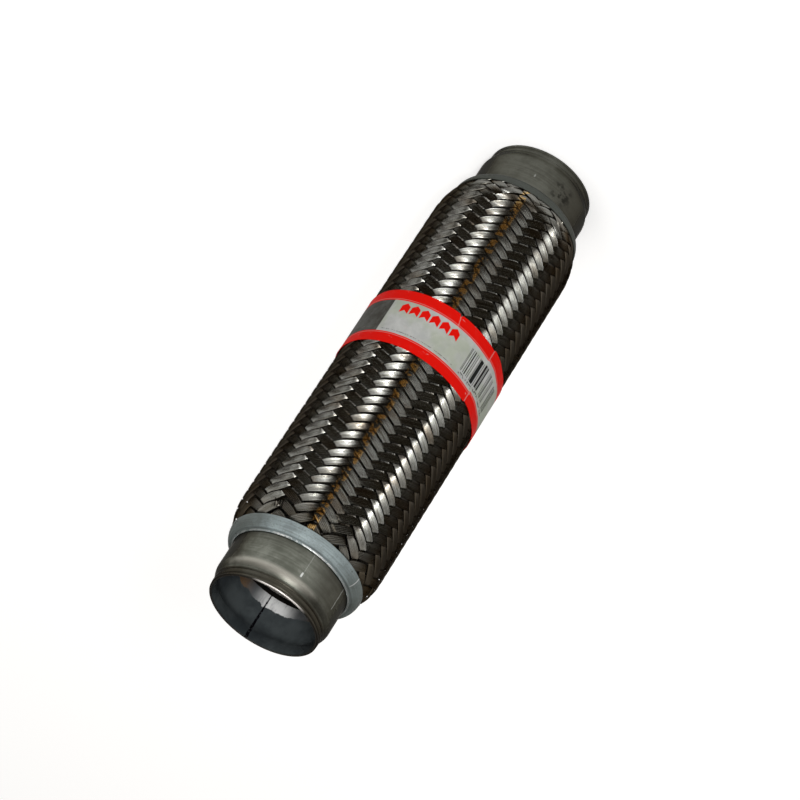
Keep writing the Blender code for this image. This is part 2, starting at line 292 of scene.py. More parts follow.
class Graph:
    """A material's node tree, with one short call for each kind of node."""

    def __init__(self, name):
        self.material = bpy.data.materials.new(name)
        self.material.use_nodes = True
        self.tree = self.material.node_tree
        self.shader = self.tree.nodes["Principled BSDF"]

    def node(self, kind, **settings):
        made = self.tree.nodes.new(kind)
        for key, value in settings.items():
            setattr(made, key, value)
        return made

    def feed(self, socket, value):
        if isinstance(value, bpy.types.NodeSocket):
            self.tree.links.new(value, socket)
        else:
            socket.default_value = value

    def set(self, **values):
        """Feed sockets of the shader, named in lower case with underscores."""
        names = {socket.name.lower().replace(" ", "_"): socket for socket in self.shader.inputs}
        for key, value in values.items():
            self.feed(names[key], value)

    def math(self, operation, *values):
        made = self.node("ShaderNodeMath", operation=operation)
        for socket, value in zip(made.inputs, values):
            self.feed(socket, value)
        return made.outputs[0]

    def add(self, a, b):
        return self.math("ADD", a, b)

    def times(self, a, b):
        return self.math("MULTIPLY", a, b)

    def minus(self, a, b):
        return self.math("SUBTRACT", a, b)

    def step(self, value, start, end):
        """0 before start, 1 after end, smooth between them."""
        made = self.node("ShaderNodeMapRange", interpolation_type="SMOOTHSTEP")
        for socket, given in zip(made.inputs, (value, start, end, 0.0, 1.0)):
            self.feed(socket, given)
        return made.outputs[0]

    def within(self, value, low, high, soft):
        """1 between low and high, with soft edges."""
        rise = self.step(value, low - soft, low + soft)
        fall = self.step(value, high - soft, high + soft)
        return self.minus(rise, fall)

    def noise(self, vector, scale, detail=2.0, roughness=0.5):
        made = self.node("ShaderNodeTexNoise")
        self.feed(made.inputs["Vector"], vector)
        made.inputs["Scale"].default_value = scale
        made.inputs["Detail"].default_value = detail
        made.inputs["Roughness"].default_value = roughness
        return made.outputs["Fac"]

    def stretch(self, vector, x, y, z):
        made = self.node("ShaderNodeMapping")
        self.feed(made.inputs["Vector"], vector)
        made.inputs["Scale"].default_value = (x, y, z)
        return made.outputs["Vector"]

    def mix(self, share, a, b):
        """Colour a where share is 0 and b where it is 1."""
        made = self.node("ShaderNodeMix", data_type="RGBA")
        self.feed(made.inputs["Factor"], share)
        for socket, value in zip(made.inputs[6:8], (a, b)):
            self.feed(socket, value if isinstance(value, bpy.types.NodeSocket) else (*value, 1.0))
        return made.outputs[2]

    def white_noise(self, value):
        made = self.node("ShaderNodeTexWhiteNoise", noise_dimensions="1D")
        self.feed(made.inputs["W"], value)
        return made.outputs["Value"]

    def largest(self, first, *others):
        for other in others:
            first = self.math("MAXIMUM", first, other)
        return first

    def place(self):
        return self.node("ShaderNodeTexCoord").outputs["Object"]

    def split(self, vector):
        made = self.node("ShaderNodeSeparateXYZ")
        self.feed(made.inputs[0], vector)
        return made.outputs

    def join(self, x, y, z):
        made = self.node("ShaderNodeCombineXYZ")
        for socket, value in zip(made.inputs, (x, y, z)):
            self.feed(socket, value)
        return made.outputs[0]

    def uv(self):
        return self.node("ShaderNodeUVMap", uv_map="UVMap").outputs[0]

    def attribute(self, name):
        return self.node("ShaderNodeAttribute", attribute_name=name).outputs["Fac"]

    def bump(self, height, distance, strength):
        made = self.node("ShaderNodeBump")
        made.inputs["Strength"].default_value = strength
        made.inputs["Distance"].default_value = distance
        self.feed(made.inputs["Height"], height)
        self.feed(self.shader.inputs["Normal"], made.outputs[0])

    def round_the_pipe(self):
        """Angle in degrees, and distance from the inlet's mouth in mm."""
        x, y, z = self.split(self.place())
        turn = self.times(self.math("ARCTAN2", y, x), -180 / math.pi)
        return self.minus(turn, 90.0), self.times(self.minus(LENGTH, z), 1000.0)


def bulge_radius(height, low, high):
    """Radius of the outer braid's crowns at each height, and its slope."""
    height = np.clip(height, low, high)
    distance = np.minimum(height, LENGTH - height)
    share = np.clip((distance - BULGE_START) / BULGE_LENGTH, 0, 1)
    gain = BRAID_RADIUS - BRAID_HEM_RADIUS
    radius = BRAID_HEM_RADIUS + gain * (1 - (1 - share) ** BULGE_POWER)
    slope = gain / BULGE_LENGTH * BULGE_POWER * (1 - share) ** (BULGE_POWER - 1)
    slope = np.where(share > 0, slope, 0.0) * np.where(height < LENGTH / 2, 1.0, -1.0)
    return radius, slope


def straight_radius(height, low, high):
    return np.full_like(height, INNER_RADIUS), np.zeros_like(height)


def ribbon_stations(first, last, shares):
    """Places along a ribbon, counted in columns, with the same shares in each column."""
    whole = np.arange(math.floor(first), math.ceil(last))
    return (whole[:, None] + np.array(shares)[None, :]).ravel()


def ribbon_set(
    name, rising, chosen, radius_at, row, level, thickness, rise, wires, shares, low, high, seed
):
    """Ribbons of one direction in a two-over-two weave, each a flat bundle of wires."""
    column = math.tau / BRAID_COLUMNS
    start = math.radians(BRAID_START_ANGLE)
    corners = 2 * wires + 1
    across = np.linspace(-0.5, 0.5, corners)
    crest = np.arange(corners) % 2 == 1
    arch = -RIBBON_ARCH * thickness * (2 * np.abs(across)) ** 2
    valley = np.where(np.arange(corners) % 4 == 0, *WIRE_DEPTHS)
    relief = np.where(crest, 0.0, -valley * thickness) + arch
    relief[[0, -1]] = -thickness
    points, faces, lengths, dives, marks = [], [], [], [], []
    offset = 0
    for index in chosen:
        shift = level + (row / 2 if rising else 0) + index * row
        margin = row * 1.5
        if rising:
            first = (low - margin - shift) / row
            last = (high + margin - shift) / row
        else:
            first = (shift - high - margin) / row
            last = (shift - low + margin) / row
        u = ribbon_stations(first, last, shares)
        middle = shift + row * u if rising else shift - row * u
        share = u % 1
        over = (np.floor(u) % 2 == 0) == rising
        wave = np.where(over, 1.0, -1.0) * np.sin(math.pi * share) ** WEAVE_SQUARENESS
        ribbon_seed = seed + index * 7
        middle = middle + wander(u, ribbon_seed, 1.3, row * RIBBON_DRIFT)
        lift = wander(u, ribbon_seed + 1, 0.9, thickness * RIBBON_LIFT)
        tilt = wander(u, ribbon_seed + 2, 1.0, thickness * RIBBON_TILT)
        width = row * RIBBON_FILL * (1 - RIBBON_PINCH * (1 - wave ** 2))
        offset_up = across[None, :] * width[:, None]
        height = middle[:, None] + offset_up / 2
        base, slope = radius_at(height, low, high)
        flat = 1 / np.sqrt(1 + slope ** 2)
        narrowing = np.clip(-radius_at(middle, low, high)[1] / HEM_SLOPE, -1, 1)
        crimped = rise * (1 + HEM_CRIMP * np.abs(narrowing))
        flattened = 1 - HEM_FLAT * np.maximum(narrowing, 0)
        out = ((wave - 1) * crimped + lift)[:, None] + tilt[:, None] * across[None, :]
        out = out + relief[None, :] * flattened[:, None]
        far = base + out * flat
        drop = -out * slope * flat
        sway = offset_up / (2 * row)
        angle = start + (u[:, None] - sway if rising else u[:, None] + sway) * column
        rings = np.stack([far * np.cos(angle), far * np.sin(angle), height + drop], -1)
        points.append(rings.reshape(-1, 3))
        count = len(u)
        ring_start = offset + np.arange(count - 1)[:, None] * corners
        here = ring_start + np.arange(corners)[None, :]
        beside = ring_start + (np.arange(corners) + 1)[None, :] % corners
        quads = np.stack([here, here + corners, beside + corners, beside], -1)
        if not rising:
            quads = quads[..., ::-1]
        faces.append(quads.reshape(-1, 4))
        lengths.append(np.repeat(u * column * BRAID_RADIUS, corners))
        marks.append(np.tile(np.arange(corners) / (corners - 1), count) + index)
        dives.append(np.repeat(0.5 - 0.5 * wave, corners))
        offset += count * corners
    points = np.concatenate(points)
    mesh = mesh_from(name, points, np.concatenate(faces))
    mark_points(mesh, "along", np.concatenate(lengths))
    mark_points(mesh, "across", np.concatenate(marks))
    mark_points(mesh, "dive", np.concatenate(dives))
    ends = np.empty(len(mesh.edges) * 2, np.int32)
    mesh.edges.foreach_get("vertices", ends)
    side = ends.reshape(-1, 2) % corners
    mark = mesh.attributes.new("sharp_edge", "BOOLEAN", "EDGE")
    mark.data.foreach_set("value", side[:, 0] == side[:, 1])
    trim_ends(mesh, low, high)
    return mesh


def trim_ends(mesh, low, high):
    """Cut the ribbons square at both hems and close their ends."""
    bm = bmesh.new()
    bm.from_mesh(mesh)
    for height, outer, inner in ((low, False, True), (high, True, False)):
        cut = bmesh.ops.bisect_plane(
            bm,
            geom=bm.verts[:] + bm.edges[:] + bm.faces[:],
            dist=1e-7,
            plane_co=(0, 0, height),
            plane_no=(0, 0, 1),
            clear_outer=outer,
            clear_inner=inner,
        )
        rim = [item for item in cut["geom_cut"] if isinstance(item, bmesh.types.BMEdge)]
        bmesh.ops.holes_fill(bm, edges=rim)
    bm.normal_update()
    bm.to_mesh(mesh)
    bm.free()


def turn_angles():
    """Angles of a turned piece's corners, closer together at the seam inside the tube."""
    even = np.arange(TURN_SIDES) * 360 / TURN_SIDES
    close = INSIDE_SEAM + np.linspace(-2 * SEAM_HALF, 2 * SEAM_HALF, 17)
    even = even[(even < close[0] - 0.5) | (even > close[-1] + 0.5)]
    return np.radians(np.sort(np.concatenate([even, close])))


def turned(name, outline, material, slot_name, *replaced, shape=None, inner=None):
    """Turn a closed outline of radius and height round the axis."""
    ring = np.array(outline, float)
    angles = turn_angles()
    sides = len(angles)
    radius = np.repeat(ring[None, :, 0], sides, 0)
    height = np.repeat(ring[None, :, 1], sides, 0)
    turn = np.repeat(angles[:, None], len(ring), 1)
    if shape:
        radius, height = shape(turn, radius, height)
    points = np.stack([radius * np.cos(turn), radius * np.sin(turn), height], -1).reshape(-1, 3)
    corner = np.arange(len(ring))
    here = np.arange(sides)[:, None] * len(ring) + corner
    beside = np.arange(sides)[:, None] * len(ring) + (corner + 1) % len(ring)
    total = sides * len(ring)
    faces = np.stack([here, (here + len(ring)) % total, (beside + len(ring)) % total, beside], -1)
    mesh = mesh_from(name, points, faces.reshape(-1, 4))
    if inner:
        mark_points(mesh, "inner", np.tile(inner, sides))
    bm = bmesh.new()
    bm.from_mesh(mesh)
    bmesh.ops.recalc_face_normals(bm, faces=bm.faces)
    bm.to_mesh(mesh)
    bm.free()
    mesh.shade_smooth()
    mesh.set_sharp_from_angle(angle=math.radians(50))
    add_piece(name, mesh, material, slot_name, *replaced)


def arc(centre, radius, start, end, steps):
    """Points on an arc, with angles in degrees."""
    return [
        (centre[0] + radius * math.cos(math.radians(t)), centre[1] + radius * math.sin(math.radians(t)))
        for t in np.linspace(start, end, steps)
    ]


def taper(first, last, start, end, steps):
    """Points that leave a radius at once and ease into the next one."""
    return [
        (first + (last - first) * math.sin(share * math.pi / 2), start + (end - start) * share)
        for share in np.linspace(0, 1, steps)
    ]


def tube_outside():
    """Pipe end from its rim: a ringed lip, the taper and a plain run."""
    mouth = TUBE_RADIUS - MOUTH_TAPER
    outline = arc((mouth - RIM_ROUND, RIM_ROUND), RIM_ROUND, -90, 0, 5)
    for count, groove in enumerate(LIP_GROOVES):
        level = mouth + count * LIP_STEP
        outline += [(level, groove - 1.6 * GROOVE_HALF), (level, groove - GROOVE_HALF)]
        outline += [(level - GROOVE_DEPTH, groove), (level + LIP_STEP, groove + GROOVE_HALF)]
    outline += taper(mouth + 2 * LIP_STEP, TUBE_RADIUS, LIP_END, TAPER_END, 9)
    outline += [(TUBE_RADIUS, height) for height in np.linspace(TAPER_END + 0.003, TUBE_END, 5)]
    return outline


def tube_inside():
    """Bore of the pipe end, from its inner end to the rim."""
    inside = TUBE_RADIUS - MOUTH_TAPER - TUBE_WALL
    outline = [(TUBE_RADIUS - TUBE_WALL, height) for height in np.linspace(TUBE_END, TAPER_END + 0.001, 8)]
    outline += taper(inside, TUBE_RADIUS - TUBE_WALL, LIP_END, TAPER_END, 6)[::-1]
    outline += arc((inside + RIM_ROUND, RIM_ROUND), RIM_ROUND, 180, 270, 5)
    return outline


def seam_shape(turn, radius, height):
    """A shallow groove along the weld inside the bore."""
    away = (np.degrees(turn) - INSIDE_SEAM) / SEAM_HALF
    distance = np.minimum(height, LENGTH - height)
    inside = radius < TUBE_RADIUS - TUBE_WALL / 2 - MOUTH_TAPER * (1 - smooth_step(distance, 0, TAPER_END))
    groove = SEAM_DEPTH * np.exp(-away ** 2 * 3)
    return radius + np.where(inside, groove, 0.0), height


def cap_outline():
    """Stamped cap: a rounded collar on the tube, then a bowl that runs out over the braid."""
    bore = TUBE_RADIUS + CAP_GAP
    collar = bore + CAP_COLLAR
    foot = CAP_START + CAP_COLLAR_LENGTH
    outline = [(bore, CAP_START + CAP_CHAMFER), (bore + CAP_CHAMFER, CAP_START)]
    outline += arc(
        (collar - CAP_COLLAR_ROUND, CAP_START + CAP_COLLAR_ROUND), CAP_COLLAR_ROUND, -80, 0, 6
    )
    outline.append((collar + CAP_CHAMFER, foot))
    for turn in np.linspace(8, 90, 12):
        outline.append((
            collar + (CAP_RADIUS - collar) * math.sin(math.radians(turn)),
            foot + (CAP_END - CAP_EDGE_ROUND - foot) * (1 - math.cos(math.radians(turn))),
        ))
    outline += arc(
        (CAP_RADIUS - CAP_EDGE_ROUND, CAP_END - CAP_EDGE_ROUND), CAP_EDGE_ROUND, 15, 90, 4
    )
    outline += [(CAP_RADIUS - CAP_WALL, CAP_END), (CAP_RADIUS - CAP_WALL, BRAID_END - CAP_GAP)]
    outline += [(bore + CAP_WALL * 2, CAP_START + CAP_SEAT[1]), (bore, CAP_START + CAP_SEAT[0])]
    return outline


def flipped(outline):
    return [(radius, LENGTH - height) for radius, height in outline]


def tube_steel():
    """Dull aluminised sheet: greenish grey, blotchy, with scratches, a sooty bore, and painted shade and
    highlights.
    """
    g = Graph("tube_steel_finish")
    place = g.place()
    angle, depth = g.round_the_pipe()
    cloud = g.noise(place, 60, 4, 0.6)
    hoops = g.noise(g.stretch(place, 40, 40, 900), 1.0, 3, 0.6)
    spots = g.noise(place, 900, 2, 0.6)
    tone = g.mix(g.step(g.add(g.times(cloud, 0.7), g.times(hoops, 0.3)), 0.38, 0.62), TUBE_DARK, TUBE_LIGHT)
    tone = g.mix(g.times(g.step(spots, 0.54, 0.68), 0.4), tone, (0.10, 0.10, 0.085))
    # Painted shade: the tube darkens on the sides turned from the lamps
    bright = g.within(g.add(angle, g.times(g.minus(cloud, 0.5), 50.0)), *TUBE_LIT_TURN, 14.0)
    tone = g.mix(g.times(g.minus(1.0, bright), 0.7), tone, TUBE_SHADE)
    # Painted highlight on the lit side of the shoulder
    shoulder = g.times(g.within(depth, *SHOULDER_HIGHLIGHT_RUN, 1.5), bright)
    tone = g.mix(g.times(shoulder, 0.65), tone, TUBE_HIGHLIGHT)
    # Painted shade on the tube where it meets the cap
    tone = g.mix(g.times(g.step(depth, *CAP_SHADE_RUN), 0.3), tone, TUBE_SHADE)
    lip = g.minus(1.0, g.step(depth, LIP_END * 1000 - 0.6, LIP_END * 1000 + 0.3))
    tone = g.mix(g.times(lip, 0.75), tone, (0.04, 0.034, 0.025))
    wavy = g.add(angle, g.times(g.minus(g.noise(place, 300, 2, 0.5), 0.5), 1.2))
    for at, half, start, end, strength in TUBE_SCRATCHES:
        mark = g.times(g.within(wavy, at - half, at + half, 0.12), g.within(depth, start, end, 0.4))
        tone = g.mix(g.times(mark, strength), tone, (0.60, 0.62, 0.60))
    # Painted shade on the outlet end
    tone = g.mix(g.times(g.step(depth, *OUTLET_SHADE_RUN), 0.42), tone, TUBE_SHADE)
    smudge = g.times(g.within(angle, *SMUDGE_TURN, 6.0), g.within(depth, *SMUDGE_RUN, 2.5))
    smudge = g.times(smudge, g.step(g.noise(place, 260, 3, 0.6), 0.46, 0.60))
    tone = g.mix(g.times(smudge, 0.8), tone, (0.012, 0.012, 0.010))
    tone, inner, bare = bore_tone(g, tone, place, angle, depth, cloud)
    # Painted shade on the rim's face
    rim = g.minus(1.0, g.step(depth, 0.15, 0.5))
    tone = g.mix(g.times(rim, 0.85), tone, (0.03, 0.028, 0.025))
    # Painted highlight on the near rim's inner edge
    tone = g.mix(g.times(rim, g.within(angle, *RIM_HIGHLIGHT_TURN, 8.0)), tone, (0.90, 0.86, 0.83))
    g.set(
        base_color=tone,
        metallic=g.minus(g.minus(0.85, g.times(inner, 0.3)), g.times(bare, 0.45)),
        roughness=g.add(0.34, g.times(hoops, 0.12)),
        specular_tint=EDGE_TINT,
    )
    g.bump(g.add(g.times(spots, 0.5), hoops), 0.00004, 0.4)
    return g.material


def bore_tone(g, tone, place, angle, depth, cloud):
    """Sooty bore with a bare ragged band at its inner end, a painted highlight on that band near the weld,
    and a dark weld.
    """
    inner = g.step(g.attribute("inner"), 0.2, 0.8)
    aside = g.math("WRAP", g.add(angle, 90.0 + INSIDE_SEAM), 180.0, -180.0)
    away = g.math("ABSOLUTE", aside)
    sooty = g.mix(g.step(cloud, 0.35, 0.65), (0.065, 0.08, 0.09), (0.145, 0.17, 0.18))
    sooty = g.mix(g.times(g.step(away, 70.0, 120.0), 0.6), sooty, (0.20, 0.17, 0.14))
    tone = g.mix(g.times(inner, 0.9), tone, sooty)
    ragged = g.times(g.minus(g.noise(place, 260, 4, 0.6), 0.5), 4.0)
    ragged = g.minus(g.add(depth, ragged), g.times(away, BARE_SLANT))
    bare = g.times(inner, g.step(ragged, BARE_START, BARE_START + 0.4))
    streaks = g.noise(g.join(g.times(angle, 0.22), g.times(depth, 0.12), 0.0), 1.0, 4, 0.6)
    # Bare band's tone, with a painted highlight near the weld
    bare_tone_and_highlight = g.mix(g.within(aside, *BARE_HIGHLIGHT_TURN, 10.0), (0.13, 0.135, 0.14), (0.97, 0.98, 0.97))
    bare_tone_and_highlight = g.mix(g.minus(1.0, g.within(aside, *BARE_CLEAN_TURN, 8.0)), bare_tone_and_highlight, (0.16, 0.10, 0.055))
    bare_tone_and_highlight = g.mix(g.times(g.step(streaks, 0.42, 0.72), 0.45), bare_tone_and_highlight, (0.16, 0.17, 0.18))
    tone = g.mix(bare, tone, bare_tone_and_highlight)
    seam_half = g.minus(1.75, g.times(depth, 0.05))
    rough_edge = g.times(g.minus(g.noise(place, 700, 3, 0.7), 0.5), 1.6)
    seam = g.minus(1.0, g.step(g.minus(g.add(away, rough_edge), seam_half), -0.35, 0.35))
    specks = g.step(g.noise(place, 1100, 2, 0.7), 0.62, 0.68)
    tone = g.mix(g.times(inner, seam), tone, g.mix(specks, (0.006, 0.006, 0.009), (0.16, 0.17, 0.19)))
    return tone, inner, bare


def cap_steel():
    """Zinc plated stamping: pale blue grey, satin, with fine rings and a butt seam, and painted shade and a
    painted highlight.
    """
    g = Graph("cap_steel_finish")
    place = g.place()
    angle, depth = g.round_the_pipe()
    cloud = g.noise(place, 90, 4, 0.65)
    grain = g.noise(place, 1400, 2, 0.6)
    rings = g.noise(g.join(g.times(angle, 0.03), g.times(depth, 3.0), 0.0), 1.0, 3, 0.7)
    tone = g.mix(g.step(g.add(g.times(cloud, 0.5), g.times(rings, 0.5)), 0.36, 0.62), CAP_DARK, CAP_LIGHT)
    tone = g.mix(g.times(g.step(grain, 0.5, 0.7), 0.4), tone, (0.12, 0.13, 0.125))
    # Painted shade on the cap's sides turned from the lamps
    side = g.minus(1.0, g.within(g.add(angle, g.times(cloud, 20.0)), *CAP_LIT_TURN, 14.0))
    tone = g.mix(g.times(side, 0.55), tone, (0.10, 0.11, 0.095))
    seam = g.times(g.within(angle, *CAP_SEAM_TURN, 0.15), g.within(depth, *CAP_SEAM_RUN, 0.4))
    tone = g.mix(g.times(seam, 0.8), tone, (0.75, 0.77, 0.77))
    # Painted shade of a groove line at the foot of the collar
    groove = g.within(depth, *CAP_GROOVE_SHADE_RUN, 0.12)
    tone = g.mix(g.times(groove, 0.4), tone, (0.05, 0.055, 0.055))
    pits = g.step(g.noise(place, 420, 1, 0.5), 0.735, 0.76)
    tone = g.mix(g.times(pits, 0.85), tone, (0.02, 0.02, 0.018))
    bead_and_highlight = g.times(g.within(depth, *BEAD_RUN, 0.12), g.step(g.noise(place, 240, 3, 0.7), 0.38, 0.5))
    # Painted highlight on the front of the bead; the bead itself is pale and glossy all round
    bead_and_highlight = g.times(bead_and_highlight, g.add(0.25, g.times(g.within(angle, *BEAD_HIGHLIGHT_TURN, 6.0), 0.75)))
    tone = g.mix(bead_and_highlight, tone, (0.80, 0.82, 0.82))
    # Painted shade on the outlet's cap, which also drops its bead
    far = g.step(depth, *OUTLET_SHADE_RUN)
    tone = g.mix(g.times(far, 0.9), tone, (0.055, 0.058, 0.048))
    bead_and_highlight = g.times(bead_and_highlight, g.minus(1.0, far))
    g.set(
        base_color=tone,
        metallic=g.add(0.45, g.times(bead_and_highlight, 0.5)),
        roughness=g.minus(g.add(0.46, g.times(cloud, 0.2)), g.times(bead_and_highlight, 0.3)),
        specular_tint=EDGE_TINT,
    )
    g.bump(g.add(g.times(grain, 0.6), rings), 0.00006, 0.45)
    return g.material


def wire_steel(name, light, dark, shade, metallic=1.0, roughness=0.17):
    """Bundle of bright stainless wires, each its own tone, with brown tarnished bundles, and painted shade
    on the braid's sides, at the ribbons' edges and where they dive.
    """
    g = Graph(name)
    angle, depth = g.round_the_pipe()
    along = g.attribute("along")
    across = g.attribute("across")
    dive = g.attribute("dive")
    wires = g.math("FLOOR", g.times(across, float(RIBBON_WIRES)))
    single = g.join(g.times(along, 25.0), g.times(wires, 3.7), 0.0)
    wire_tone = g.noise(single, 1.0, 1, 0.5)
    bundle = g.join(g.times(along, 60.0), g.times(g.math("FLOOR", across), 9.3), 0.0)
    bundle_tone = g.noise(bundle, 1.0, 2, 0.6)
    tone = g.mix(g.step(wire_tone, 0.15, 0.75), dark, light)
    tone = g.mix(g.times(g.step(bundle_tone, 0.46, 0.72), 0.55), tone, (0.085, 0.055, 0.026))
    # Painted shade on the braid's sides turned from the lamps, which are also made duller
    aside = g.minus(1.0, g.within(angle, *BRAID_LIT_TURN, 7.0))
    front = g.within(g.math("WRAP", angle, 180.0, -180.0), *SIDE_SHADE_TURN, 20.0)
    side_shade = g.times(aside, g.add(0.35, g.times(front, 0.45)))
    tone = g.mix(side_shade, tone, (0.036, 0.025, 0.014))
    hem = g.minus(1.0, g.step(depth, *HEM_SHADE_RUN))
    tone = g.mix(g.times(hem, 0.45), tone, (0.05, 0.04, 0.025))
    flecks = g.step(g.noise(g.place(), 300, 2, 0.6), 0.47, 0.52)
    flecks = g.times(flecks, g.within(angle, *FLECKS_TURN, 1.0))
    tone = g.mix(g.times(flecks, 0.9), tone, (0.55, 0.37, 0.15))
    # Painted shade in the gaps of the spread wires
    spread = g.times(g.within(angle, *SPREAD_TURN, 0.3), g.within(depth, *SPREAD_RUN, 0.3))
    slash = g.math("FRACT", g.times(g.add(angle, g.times(depth, 0.35)), 1 / SPREAD_STEP))
    tone = g.mix(g.times(spread, g.within(slash, 0.25, 0.7, 0.1)), tone, (0.004, 0.003, 0.002))
    # Painted shade at the ribbons' edges and where they dive under others
    edge = g.math("ABSOLUTE", g.minus(g.math("FRACT", across), 0.5))
    edge_and_dive_shade = g.largest(g.times(g.step(edge, 0.45, 0.5), 0.75), g.times(g.step(dive, 0.3, 0.7), 0.25))
    tone = g.mix(edge_and_dive_shade, tone, shade)
    g.set(
        base_color=tone,
        metallic=metallic,
        roughness=g.add(g.add(roughness, g.times(wire_tone, 0.12)), g.times(side_shade, 0.30)),
        specular_tint=EDGE_TINT,
    )
    return g.material


def label_finish():
    """Printed paper: red borders, a pale field with chevrons and bars, a grey field."""
    g = Graph("label_finish")
    place = g.place()
    angle, up, _ = g.split(g.uv())
    paper = g.noise(place, 500, 4, 0.6)
    worn = g.noise(place, 160, 5, 0.7)
    stain = g.noise(place, 45, 3, 0.6)
    scuff = g.noise(g.stretch(place, 140, 140, 420), 1.0, 5, 0.75)
    pale = g.mix(g.step(worn, 0.3, 0.75), (0.44, 0.455, 0.445), (0.56, 0.57, 0.56))
    pale = g.mix(g.times(g.step(stain, 0.48, 0.62), 0.55), pale, (0.37, 0.42, 0.30))
    grey = g.mix(g.step(worn, 0.35, 0.7), (0.055, 0.052, 0.045), (0.105, 0.108, 0.10))
    field = g.mix(g.step(angle, *GREY_FIELD_EDGE), grey, pale)
    bar = g.math("GREATER_THAN", g.white_noise(g.math("FLOOR", g.times(angle, BAR_MODULES))), 0.52)
    bars = g.times(g.times(bar, g.within(angle, *BARS_TURN, 0.05)), g.within(up, *BARS_RUN, 0.06))
    mark = g.math("GREATER_THAN", g.noise(g.join(g.times(angle, 0.9), g.times(up, 1.1), 0.0), 1.0, 1), 0.53)
    small = g.times(g.within(angle, *BARS_TURN, 0.05), g.within(up, *SMALL_PRINT_RUN, 0.06))
    bars = g.largest(bars, g.times(g.times(small, mark), 0.8))
    field = g.mix(bars, field, (0.015, 0.015, 0.015))
    along = g.times(g.minus(angle, CHEVRONS_TURN[0]), CHEVRONS_PER_DEGREE)
    local = g.minus(g.math("FRACT", along), 0.5)
    arrow = g.minus(up, g.times(g.math("ABSOLUTE", local), CHEVRON_RISE))
    chevron = g.math("LESS_THAN", g.math("ABSOLUTE", local), 0.42)
    chevron = g.times(g.within(arrow, *CHEVRON_RUN, 0.08), chevron)
    chevron = g.times(chevron, g.within(angle, *CHEVRONS_TURN, 0.05))
    red = g.mix(g.step(worn, 0.55, 0.8), LABEL_RED, (0.74, 0.025, 0.016))
    field = g.mix(chevron, field, red)
    dash = g.step(g.white_noise(g.math("FLOOR", g.times(angle, 1.6))), 0.35, 0.45)
    line = g.times(dash, g.times(g.within(up, *DASHES_LEVEL, 0.05), g.within(angle, *DASHES_TURN, 0.1)))
    field = g.mix(g.times(line, 0.8), field, (0.08, 0.08, 0.08))
    border = g.minus(1.0, g.within(up, *FIELD_RUN, 0.06))
    tone = g.mix(border, field, red)
    for level in (FIELD_RUN[0] - BORDER_LINE_OFFSET, FIELD_RUN[1] + BORDER_LINE_OFFSET):
        line = g.within(up, level - 0.14, level + 0.14, 0.08)
        tone = g.mix(g.times(line, 0.6), tone, (0.50, 0.36, 0.33))
    tone = g.mix(g.times(g.step(scuff, 0.64, 0.72), 0.55), tone, (0.50, 0.44, 0.42))
    crease = g.attribute("crease")
    tone = g.mix(g.times(g.step(crease, 0.35, 0.9), 0.4), tone, (0.58, 0.56, 0.54))
    g.set(
        base_color=tone,
        metallic=0.0,
        roughness=g.add(0.45, g.times(worn, 0.2)),
        specular_ior_level=0.03,
    )
    g.bump(g.add(g.times(paper, 0.4), worn), 0.00008, 0.35)
    return g.material


def bellows_shade_steel():
    """Thin stainless sheet, dull, painted near black as the shade it lies in behind the braids."""
    g = Graph("bellows_finish")
    cloud = g.noise(g.place(), 90, 3, 0.6)
    g.set(
        base_color=g.mix(cloud, (0.02, 0.018, 0.016), (0.06, 0.055, 0.05)),
        metallic=0.9,
        roughness=g.add(0.35, g.times(cloud, 0.2)),
    )
    g.bump(cloud, 0.00005, 0.3)
    return g.material


def build_outer_braid():
    finish = wire_steel(
        "braid_wire_finish", (0.215, 0.218, 0.205), (0.105, 0.10, 0.083), (0.03, 0.023, 0.014)
    )
    half_way = BRAID_COLUMNS // 2
    for way, rising in (("rising", True), ("falling", False)):
        for half, chosen in (("a", range(half_way)), ("b", range(half_way, BRAID_COLUMNS))):
            name = f"braid_ribbons_{way}_{half}"
            mesh = ribbon_set(
                name, rising, chosen, bulge_radius, BRAID_ROW, BRAID_LEVEL, RIBBON_THICKNESS, RIBBON_RISE,
                RIBBON_WIRES, RIBBON_SHARES, BRAID_END, LENGTH - BRAID_END, 100 if rising else 500,
            )
            add_piece(name, mesh, finish, "braid_wire", "outer_braid")


def build_inner_braid():
    finish = wire_steel(
        "inner_wire_finish", (0.90, 0.87, 0.85), (0.60, 0.58, 0.56), (0.2, 0.2, 0.2), 0.3, 0.4
    )
    low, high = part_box("inner_braid")[0].z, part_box("inner_braid")[1].z
    for way, rising in (("rising", True), ("falling", False)):
        name = f"liner_ribbons_{way}"
        mesh = ribbon_set(
            name, rising, range(BRAID_COLUMNS), straight_radius, INNER_ROW, BRAID_LEVEL, INNER_THICKNESS,
            INNER_RISE, INNER_WIRES, INNER_SHARES, low, high, 900 if rising else 1300,
        )
        add_piece(name, mesh, finish, "inner_wire", "inner_braid")


def build_ends():
    steel = tube_steel()
    zinc = cap_steel()
    outside, inside = tube_outside(), tube_inside()
    tube = outside + inside
    inner = [0.0] * len(outside) + [1.0] * len(inside)
    for name, outline in (("outlet", tube), ("inlet", flipped(tube))):
        turned(
            f"{name}_pipe_end", outline, steel, "tube_steel", f"{name}_tube", shape=seam_shape, inner=inner
        )
    for name, outline in (("outlet", cap_outline()), ("inlet", flipped(cap_outline()))):
        turned(f"{name}_stamped_cap", outline, zinc, "cap_steel", f"{name}_cap")


